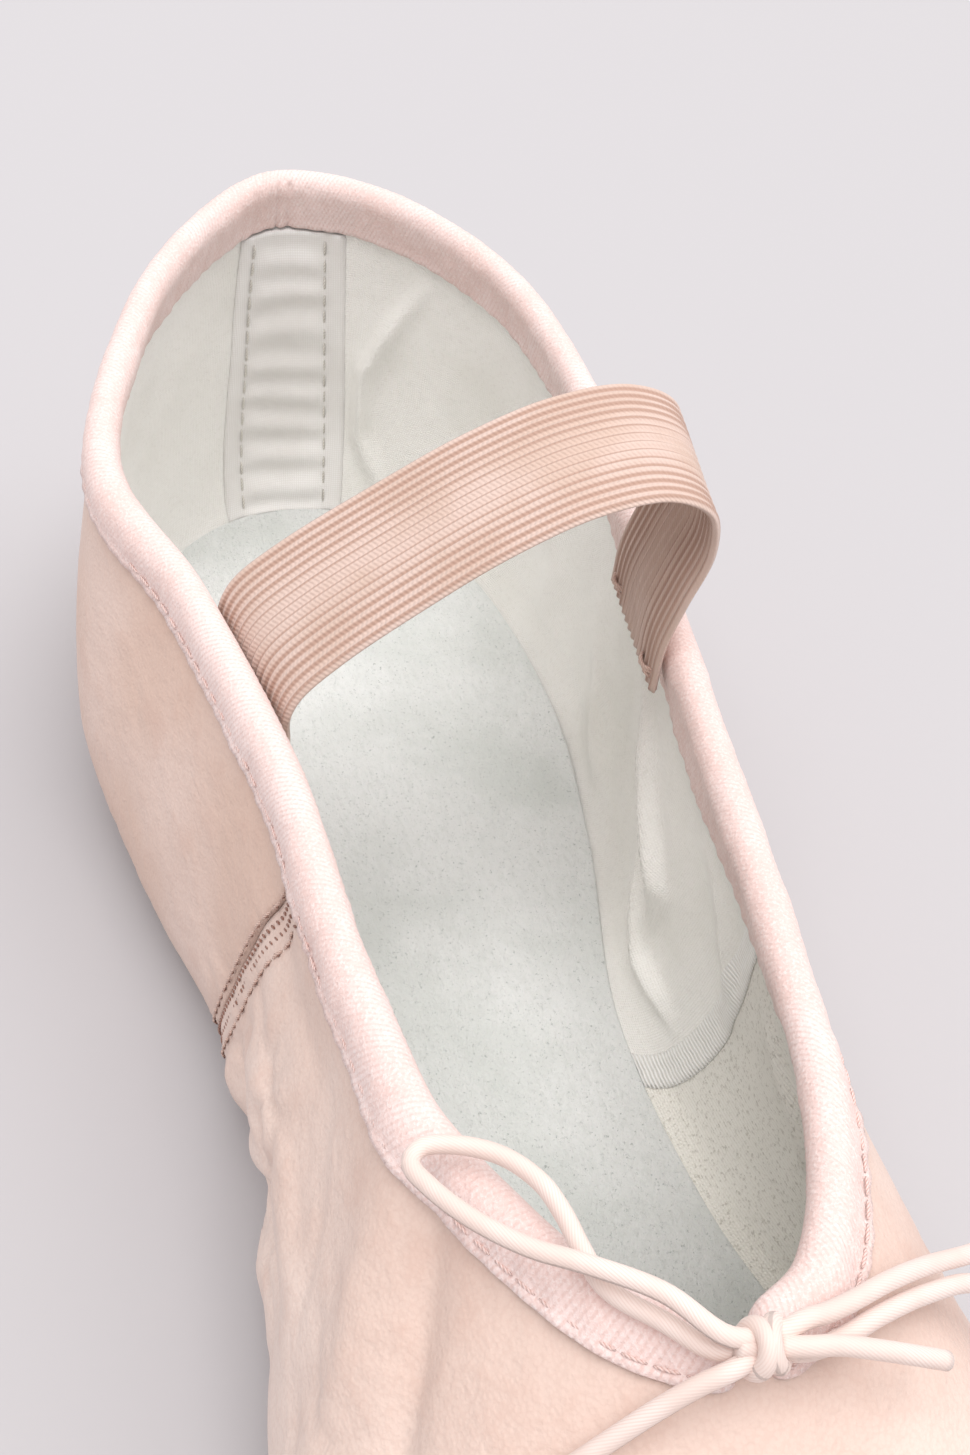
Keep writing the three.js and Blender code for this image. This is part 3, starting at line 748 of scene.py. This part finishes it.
def lining_relief(p, t):
    """How far the lining stands in from the wall: folds and slack that die out under the binding."""
    fade = np.clip((t - 0.12) * 5, 0, 1) * np.clip((0.86 - t) * 6, 0, 1)
    slack = 0.35 + 0.35 * cloud(p, 13, 8) + 0.12 * cloud(p, 5, 9)
    return (np.clip(slack, 0, None) + 1.6 * ridge(p, LINING_FOLDS)) * fade


def lining_panel(name, a, b, material):
    i, t = panel_grid(a, b, 0.04, 2, 1.0)
    p = skin(i, t)
    extra = lining_relief(p, t)
    outer = wall(i, t, -(LEATHER + GAP) - extra)
    inner = wall(i, t, INSIDE - extra)
    return place(shell(f"{name}_cloth", outer, inner, material), "shoe", "lining_cotton", name)


lining_panel("vamp_lining", shift(LINING_SEAM["left"], HALF), shift(LINING_SEAM["right"], -HALF), CANVAS)
lining_panel("quarter_lining_left", steady(0.02), shift(LINING_SEAM["left"], -HALF), COTTON)
lining_panel("quarter_lining_right", shift(LINING_SEAM["right"], HALF), steady(N - 0.02), COTTON)


def inner_tape(name, a, b, thick, gather, material):
    """A tape sewn on the lining's inner face; gather is the height of the puckers across it."""
    i, t = panel_grid(a, b, 0.12, 1, 0.7)
    p = skin(i, t)
    extra = lining_relief(p, t)
    up = arc(p, 0)
    thick = 0.12 + (thick - 0.12) * np.clip(np.minimum(np.minimum(*edges(i, t)), up) / 1.4, 0, 1) ** 0.5
    across = np.minimum(*edges(i, t))
    waves = 0.5 + 0.5 * np.cos(2 * np.pi * (up / 5.4 + 0.22 * cloud(p, 9, 12)))
    pucker = gather * np.clip((0.95 - t) * 5, 0, 1) * waves * np.clip((across - 2.2) / 2.6, 0.06, 1)
    pinch = 0.12 * bell((across - 2.4) / 0.5)
    base = INSIDE - 0.02 - extra
    outer, inner = wall(i, t, base), wall(i, t, base - thick - pucker + pinch)
    return place(shell(f"{name}_cloth", outer, inner, material), "shoe", "stay_tape", name)


def tape_stitches(f, d, thick):
    """White stitches up a tape; f gives the station at q, d the distance from it in stations."""
    q = np.linspace(0.15, AT_BINDING - 0.005, 180)
    i = f(q) + d
    t = q * down(i, LOW) / AT_BINDING
    p = skin(i, t)
    off = INSIDE - 0.06 - lining_relief(p, t) - thick - 0.12
    line, n = wall(i, t, off), -normal(i, t)
    return stitches(line, n, 2.1, 0.6, 0.35, 0.5)


STAY_WIDTH = 16.5
stay = STAY_WIDTH / 2 / float(np.linalg.norm(skin(1, 0.8) - skin(0, 0.8)))
inner_tape("back_stay_tape", steady(-stay), steady(stay), TAPE, 0.85, STAY_TAPE)
for side in ("left", "right"):
    f = LINING_SEAM[side]
    inner_tape(f"lining_seam_tape_{side}", shift(f, -0.09), shift(f, 0.09), 0.25, 0.06, OVERLOCK)
holes = stay * (1 - 2.4 / (STAY_WIDTH / 2))
rows = [tape_stitches(steady(0.0), d, TAPE) for d in (-holes, holes)]
place(sewing("tape_stitches", join(rows), WHITE_THREAD), "shoe", "thread")


# ---- binding --------
# closed section of the folded tape: distance below the topline, distance out from the skin
SECTION = [
    (5.6, 0.35), (5.55, 0.8), (5.2, 0.88), (4.7, 0.72), (4.0, 0.95), (3.0, 1.15), (1.9, 1.15), (0.9, 0.75),
    (0.2, 0), (0, -0.9), (0.25, -1.8), (1.0, -2.55), (1.9, -2.85), (3.2, -2.8), (5.0, -2.72), (6.6, -2.62),
    (7.2, -2.7), (7.5, -2.6), (7.5, -2.15), (6.5, -2.1), (1.95, -2.1), (1.1, -1.8), (0.6, -0.9), (1.1, 0.05),
    (1.95, 0.3), (5.0, 0.3), (5.6, 0.35)]
EXIT = 0.3                       # the binding stops so many stations from the toe, for the bow


def binding():
    """The folded tape all round the topline, with puckers, and creases where it is joined."""
    points = curve([(d, off, 0) for d, off in SECTION], 56)[:-1, :2]
    i = np.linspace(TOE + EXIT, TOE + N - EXIT, 1100)[:, None]
    d = np.broadcast_to(points[:, 0], (len(i), len(points)))
    t = down(i, d)
    p = skin(i, t)
    along = arc(skin(i, np.ones(i.shape)), 0)
    outside = np.clip((points[:, 1] + 0.9) / 0.6, -1, 1)        # 1 on the outer leg, -1 on the inner
    hem = np.clip((d - 1.5) / 3, 0, 1)
    pucker = 0.10 * np.sin(2 * np.pi * (along / 2.7 + 0.3 * cloud(p, 8, 15))) * hem
    pucker += 0.22 * cloud(p, 5, 16) * (0.35 + hem) + 0.12 * cloud(p, 2.2, 17)
    pucker += 0.055 * np.sin(2 * np.pi * along / 1.15) * bell((d - 0.6) / 1.6)
    for at, width in ((N - 0.05, 0.5), (N + 0.1, 0.35), (N + 5.62, 0.5), (N + 5.72, 0.35), (N + 5.8, 0.6)):
        crease = bell((along - np.interp(at, i[:, 0], along[:, 0])) / width)
        pucker -= 0.32 * crease * (1 + cloud(p, 2, 18))
    face = ~((points[:, 1] > -2.12) & (points[:, 1] < 0.32))       # the tape's hidden face keeps its place
    off = points[:, 1] + np.where(face, pucker * outside * 0.8, 0)
    v = wall(i + 0 * d, t, off)
    core = v.mean(1, keepdims=True)
    from_end = np.minimum(along, along[-1:] - along)[..., None]
    v = core + (v - core) * (0.55 + 0.45 * np.sqrt(1 - (1 - np.clip(from_end / 2.2, 0, 1)) ** 2))
    n = len(points)
    faces = grid_faces(len(i), n, wrap_cols=True).tolist()
    faces += [list(range(n)), [(len(i) - 1) * n + k for k in reversed(range(n))]]
    girth = arc(np.concatenate([v[:1], v[:1, :1]], 1), 1)[0, :-1]
    uv = np.stack([np.broadcast_to(along, d.shape), np.broadcast_to(girth, d.shape)], -1)
    obj = mesh("topline_binding_tape", v.reshape(-1, 3), faces, TWILL, uv.reshape(-1, 2))
    return place(obj, "shoe", "binding_tape", "topline_binding")


binding()


def binding_stitches():
    i = np.linspace(TOE + EXIT + 0.02, TOE + N - EXIT - 0.02, 900)
    line, n = wall(i, down(i, 4.65), np.full(i.shape, 0.86)), normal(i, down(i, 4.65))
    obj = sewing("binding_stitches", stitches(line, n, 2.0, 0.4, 0.3, 0.2), BINDING_THREAD)
    return place(obj, "shoe", "thread", "binding_stitch")


binding_stitches()


# ---- seam stitching --------
def seam_line(f, side, count=200):
    """Points and normals beside a seam, from just above the sole to just under the binding."""
    k = np.linspace(0.1, 1, count)
    i = f(k) + side
    t = k * down(i, BIND_OUT + 1)
    return wall(i, t, np.full(i.shape, 0.24)), normal(i, t)


def seam_rows(side):
    """The two stitched rows beside a side seam, and dark ticks that paint the shade in their needle holes."""
    seam, out = SEAM[side], -0.1 if side == "left" else 0.1
    for name, d in (("rear", out), ("front", -out)):
        line, n = seam_line(seam, d)
        place(sewing(f"seam_stitches_{side}_{name}", stitches(line, n, 1.8, 0.45, 0.36, 0.2)),
              "shoe", "thread", f"side_seam_stitch_{side}_{name}")
    # painted shade: dark thread ticks stand for the shade in the needle holes
    ticks(f"seam_hole_shade_{side}", seam, (-0.1, 0.1), 2.25, DARK_THREAD)


def ticks(name, f, rows, pitch, material, *nodes):
    """The cross stitches that pull a butted seam together: a short slanted tick at each needle hole. Drawn in
    dark thread on the stitched rows, they paint the shade of the needle holes instead.
    """
    parts = []
    for d in rows:
        a, n = seam_line(f, d - 0.012)
        b = seam_line(f, d + 0.012)[0]
        run = arc(a[:, None], 0)[:, 0]
        for s in np.arange(0.6, run[-1] - 0.6, pitch):
            low_, high_ = (np.array([np.interp(s + k, run, line[:, j]) for j in range(3)])
                           for line, k in ((a, 0), (b, 0.3 * pitch)))
            up = np.array([np.interp(s, run, n[:, j]) for j in range(3)])
            w = np.linspace(0, 1, 5)[:, None]
            parts.append(tube(low_ * (1 - w) + high_ * w - 0.12 * up, 0.3, 6, taper=(0.5, 1, 1, 1, 0.5)))
    return place(sewing(name, join(parts), material), "shoe", "thread", *nodes)


for side in ("left", "right"):
    seam_rows(side)
    ticks(f"seam_ticks_{side}", SEAM[side], (-0.03, 0.03), 1.05, DARK_THREAD, f"side_seam_zigzag_{side}")
ticks("back_seam_ticks", steady(float(N)), (-0.08, 0.08), 1.5, DARK_THREAD, "back_seam_zigzag")


# ---- sole and insole --------
def plate(name, edge, top, bottom, rounding, material, crown=None):
    """A flat layer inside an outline; edge(i) gives the outline's x, y. crown(p) lifts its top face."""
    i = TOE * (0.5 - 0.5 * np.cos(np.linspace(0.02, np.pi - 0.02, 220)))
    w = np.sin(np.linspace(-np.pi / 2, np.pi / 2, 90))
    a, b = edge(i)[:, None], edge(N - i)[:, None]
    p = a * (0.5 - 0.5 * w[:, None]) + b * (0.5 + 0.5 * w[:, None])
    far = np.minimum(np.minimum(np.linalg.norm(p - a, axis=-1), np.linalg.norm(p - b, axis=-1)),
                     np.minimum(arc(p, 0), arc(p, 0)[-1:] - arc(p, 0)) + 0.4)
    drop = rounding * (1 - np.sqrt(1 - (1 - np.clip(far / rounding, 0, 1)) ** 2))
    high = top - drop + (crown(p, far) if crown else 0)
    outer = np.concatenate([p, high[..., None]], -1)
    inner = np.concatenate([p, np.full(high.shape + (1,), bottom)], -1)
    return shell(name, outer, inner, material)


def inner_edge(z):
    def edge(i):
        off = np.full(np.shape(i), INSIDE - 0.35)
        t = rise(i, z, INSIDE - 0.35)
        return (skin(i, t) + normal(i, t) * off[..., None])[..., :2]
    return edge


SOCK_TOP = Z0 + LEATHER + GAP + BOARD + GAP + SOCK


def sock_crown(p, far):
    q = np.concatenate([p, np.zeros(p.shape[:-1] + (1,))], -1)
    return (0.25 * cloud(q, 30, 20) + 0.08 * cloud(q, 6, 21)) * np.clip(far / 6, 0, 1) \
        - 0.12 * bell((far - 2.6) / 0.5)


place(plate("insole_sock_suede", inner_edge(SOCK_TOP - 0.3), SOCK_TOP + 0.1, SOCK_TOP - SOCK, 0.5, SOCK_SUEDE,
            sock_crown), "shoe", "sock_suede", "insole_sock")


def outsole():
    i = np.linspace(0, N, 420, endpoint=False)
    # inset from the sole edge, height: from the channel's inner side round the edge to the top face
    profile = [(3.5, 0.0), (3.5, 0.9), (2.5, 0.9), (2.5, 0.0), (0.7, 0.0), (0.25, 0.1), (0.02, 0.45),
               (0.0, 0.9), (0.12, 1.3), (0.45, 1.5)]
    rings = []
    for inset, z in profile:
        p = skin(i, np.full(i.shape, -inset / MARGIN))
        p[:, 2] = z
        rings.append(p)
    v = np.array(rings)
    v[..., 2] += 0.05 * cloud(v, 4, 23) * (v[..., 2] > 0.3)
    n = len(i)
    faces = grid_faces(len(profile), n, wrap_cols=True).tolist()
    faces += [list(range(n)), [(len(profile) - 1) * n + k for k in reversed(range(n))]]
    obj = mesh("outsole_suede", v.reshape(-1, 3), faces, SOLE_SUEDE, smooth=False)
    return place(obj, "shoe", "sole_suede", "outsole")


outsole()
ring = skin(np.linspace(0, N, 900), np.full(900, -3 / MARGIN))
ring[:, 2] = 0.35
under = np.tile((0.0, 0.0, -1.0), (900, 1))
place(sewing("sole_stitches", stitches(ring, under, 3.0, 0.8, 0.42, 0.2), WHITE_THREAD),
      "shoe", "thread", "sole_stitch")


# ---- elastic strap --------
STRAP_X, STRAP_GAP, STRAP_RISE = -34, 0.8, 21
FOLD = {-1: 2, 1: 0.5}               # how far below the topline each end turns down, left and right
# the arch between the ends: share of the way across, share of the rise
ARCH = [(0.03, 0.1), (0.14, 0.31), (0.34, 0.59), (0.56, 0.86), (0.76, 1.03), (0.94, 1.07), (1.06, 0.95),
        (1.085, 0.7), (1.04, 0.4), (1.008, 0.17)]


def strap_end(side, x):
    """Where the strap's middle layer turns down inside the binding."""
    i = station_at(side, x)
    t = down(i, FOLD[side])
    p = skin(i, t) + normal(i, t) * INNER
    return np.array((x, p[1] - side * (STRAP_GAP + STRAP_THICK / 2), p[2]))


def strap_edge(x):
    """The strap's line at x, from the end of one sewn flap to the end of the other."""
    a, b = strap_end(-1, x), strap_end(1, x)
    top = (a[2] + b[2]) / 2
    arch = [(x, a[1] + u * (b[1] - a[1]), top + h * STRAP_RISE) for u, h in ARCH]
    down_ = np.array((0, 0, 1.0))
    return curve([a - 6 * down_, a - 3 * down_, a, *arch, b, b - 2.2 * down_, b - 4.4 * down_], 190)


def strap():
    """The elastic: a ribbed band, thinner at its two edges."""
    rear, front = strap_edge(STRAP_X - STRAP_WIDTH / 2), strap_edge(STRAP_X + STRAP_WIDTH / 2)
    w = np.linspace(0, 1, RIBS * 10 + 1)
    p = rear[:, None] * (1 - w[:, None]) + front[:, None] * w[:, None]
    along = np.gradient(p, axis=0)
    n = np.cross(np.gradient(p, axis=1), along)
    n /= np.linalg.norm(n, axis=-1, keepdims=True)
    rib = 0.5 - 0.5 * np.cos(2 * np.pi * RIBS * w)
    edge = np.clip(np.minimum(w, 1 - w) * STRAP_WIDTH / 0.5, 0, 1) ** 0.5
    half = (STRAP_THICK / 2 - 0.24 + 0.28 * rib) * (0.35 + 0.65 * edge)
    ripple = 0.18 * cloud(p, 16, 31)
    outer, inner = p + n * (half + ripple)[..., None], p + n * (ripple - half)[..., None]
    return sewn_end(shell("strap_ribbed", outer, inner, STRAP_KNIT), "elastic_strap")


def sewn_end(obj, node):
    """Bake the piece's transform and hide the imported node it stands for."""
    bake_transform(obj)
    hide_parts(node)


strap()


def tacks():
    """Hand-sewn crossed bars that hold the strap's ends."""
    for side, word in ((-1, "left"), (1, "right")):
        for dx, name in ((-6.5, "rear"), (6.5, "front")):
            p = strap_end(side, STRAP_X + dx) + np.array((0, -side * (STRAP_THICK / 2 + 0.25), -3.0))
            parts = []
            for x0, z0, x1, z1 in ((-1.6, 0, 1.6, 0.3), (-1.5, 0.5, 1.5, -0.4), (-1.4, -0.5, 1.5, 0.7)):
                w = np.linspace(0, 1, 8)[:, None]
                line = p + np.array((x0, 0, z0)) * (1 - w) + np.array((x1, 0, z1)) * w
                line[:, 1:2] += side * 0.45 * (2 * w - 1) ** 4
                parts.append(tube(line, 0.42, 8))
            obj = sewing(f"strap_thread_{word}_{name}", join(parts))
            sewn_end(obj, f"strap_tack_{word}_{name}")


tacks()


# ---- drawstring bow --------
low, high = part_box("bow_knot")
K = (np.array(low) + np.array(high)) / 2 / MM         # the knot's middle; the cords' points start from it
CORDS = {
    "bow_loop_left": [(-1, -2.9, 1), (-4.8, -5.9, 1.1), (-8.5, -10.5, 0.5), (-10.9, -13.6, -0.3),
        (-14.5, -16.8, -1.2), (-18.2, -19, -2), (-20.7, -19.8, -2.5), (-21.9, -18.7, -2.6),
        (-21.4, -16.2, -2.3), (-19.5, -13, -2), (-16.5, -10.9, -1.7), (-13.6, -10.1, -1.6),
        (-10.6, -9.7, -1.6), (-7.4, -8.9, -1.7), (-3.8, -5.8, -1.3), (-1, -3.2, -1.1)],
    "bow_loop_right": [(-0.8, 3.1, 0.9), (-1.2, 5, 0.1), (-2, 7.5, -1), (-3.7, 12, -3),
        (-5.3, 16.7, -5.6), (-6.8, 22.3, -8.8), (-8, 26.4, -10.8), (-8, 29.6, -12.5), (-5.8, 31, -13.4),
        (-3.6, 29, -12.7), (-3.7, 25.4, -11.2), (-4.7, 21.8, -9.4), (-3.5, 16.2, -6.3),
        (-1.6, 10.4, -3.5), (-0.2, 6.5, -2.3), (0.4, 3.45, -1.6)],
    "bow_tail_left": [(0.9, -2.95, -0.5), (0.9, -5, -1.6), (1, -7.7, -3.6), (1.3, -10.8, -6),
        (1.7, -14.5, -8.8), (1.8, -18.5, -12), (1.1, -23, -16.8), (0.3, -26, -21)],
    "bow_tail_right": [(1.1, 3, 0.7), (1.2, 4.8, 0.2), (1.8, 9.2, -1.7), (2.3, 14.2, -4.5)],
}


def cord(name, count):
    """A loop or tail of the bow, and its centre line."""
    points = [np.array(p, float) for p in CORDS[name]]
    into = (0.35, 0.2, 0.5)                       # the hidden ends run on into the knot
    points.insert(0, points[0] * into)
    if "loop" in name:
        points.append(points[-1] * into)
    path = curve([K + p for p in points], count)
    obj = sewing(f"{name}_cord", tube(path, CORD, 16), BRAID)
    return place(obj, "bow", "drawstring_elastic", name), path


def knot():
    """Two crossed wraps round the cords, and the cords inside them."""
    parts = []
    for y, lean_, r, turn in ((-0.85, 0.5, 1.5, 0.0), (0.75, -0.9, 1.45, 0.6)):
        w = np.linspace(0, 2 * np.pi, 40, endpoint=False)
        wrap = np.stack([r * np.cos(w) * 0.95, y + lean_ * np.sin(w + turn), r * np.sin(w)], -1)
        parts.append(tube(K + wrap, CORD, 14, loop=True))
    core = curve(K + np.array([(-0.5, -2.2, 0.4), (0, 0, 0), (0.4, 2.2, -0.2)]), 12)
    parts.append(tube(core, 2.0, 14))
    return place(sewing("bow_knot_cord", join(parts), BRAID), "bow", "drawstring_elastic", "bow_knot")


knot_obj = knot()
left, right, tail, short_tail = (cord(name, count) for name, count in (
    ("bow_loop_left", 90), ("bow_loop_right", 110), ("bow_tail_left", 60), ("bow_tail_right", 24)))


# ---- CAD nodes that keep their shape --------
for node, material in (("insole_board", BOARD_FIBRE), ("drawstring_in_casing", BRAID)):
    obj = frame["nodes"][node]
    obj.data.materials.clear()
    obj.data.materials.append(material)


# ---- stage, light, camera --------
def stage():
    """A wide plain floor."""
    data = bpy.data.meshes.new("floor")
    r = 3.0
    data.from_pydata([(-r, -r, 0), (r, -r, 0), (r, r, 0), (-r, r, 0)], [], [(0, 1, 2, 3)])
    data.materials.append(studio_floor())
    floor = bpy.data.objects.new("floor", data)
    bpy.context.collection.objects.link(floor)


def light(name, kind, energy, direction, **settings):
    """A lamp that shines from a direction."""
    data = bpy.data.lights.new(name, kind)
    data.energy = energy
    for key, value in settings.items():
        setattr(data, key, value)
    obj = bpy.data.objects.new(name, data)
    obj.rotation_mode = "QUATERNION"
    obj.rotation_quaternion = (-Vector(direction)).to_track_quat("-Z", "Y")
    obj.location = Vector(direction).normalized() * 1.5
    bpy.context.collection.objects.link(obj)
    return obj


def world(colour, strength):
    w = bpy.data.worlds.new("studio")
    w.use_nodes = True
    back = w.node_tree.nodes["Background"]
    back.inputs[0].default_value = colour
    back.inputs[1].default_value = strength
    bpy.context.scene.world = w


def camera(position, azimuth, elevation, roll, lens):
    """Azimuth and elevation of the direction from the subject to the camera, in degrees."""
    a, e, r = map(math.radians, (azimuth, elevation, roll))
    view = np.array((-math.cos(a) * math.cos(e), -math.sin(a) * math.cos(e), -math.sin(e)))
    right = np.cross(view, (0, 0, 1))
    right /= np.linalg.norm(right)
    up = np.cross(right, view)
    x, y = math.cos(r) * right + math.sin(r) * up, -math.sin(r) * right + math.cos(r) * up
    data = bpy.data.cameras.new("camera")
    data.lens, data.sensor_width, data.clip_start = lens, 36, 0.01
    obj = bpy.data.objects.new("camera", data)
    obj.matrix_world = Matrix.Translation(Vector(position) * MM) @ Matrix([x, y, -view]).transposed().to_4x4()
    bpy.context.collection.objects.link(obj)
    bpy.context.scene.camera = obj


stage()
world(colour=(1.0, 0.985, 0.99, 1), strength=0.75)
light("top", "SUN", energy=1.95, direction=(0.2, -0.12, 1.0), angle=math.radians(50))
light("key", "SUN", energy=1.1, direction=(-0.1, 0.6, 1.0), angle=math.radians(50))
camera(position=(97.1, -44.5, 166.2), azimuth=-21.6, elevation=43.9, roll=7.7, lens=42.7)
bpy.context.scene.view_settings.view_transform = "Standard"

bpy.context.view_layer.update()
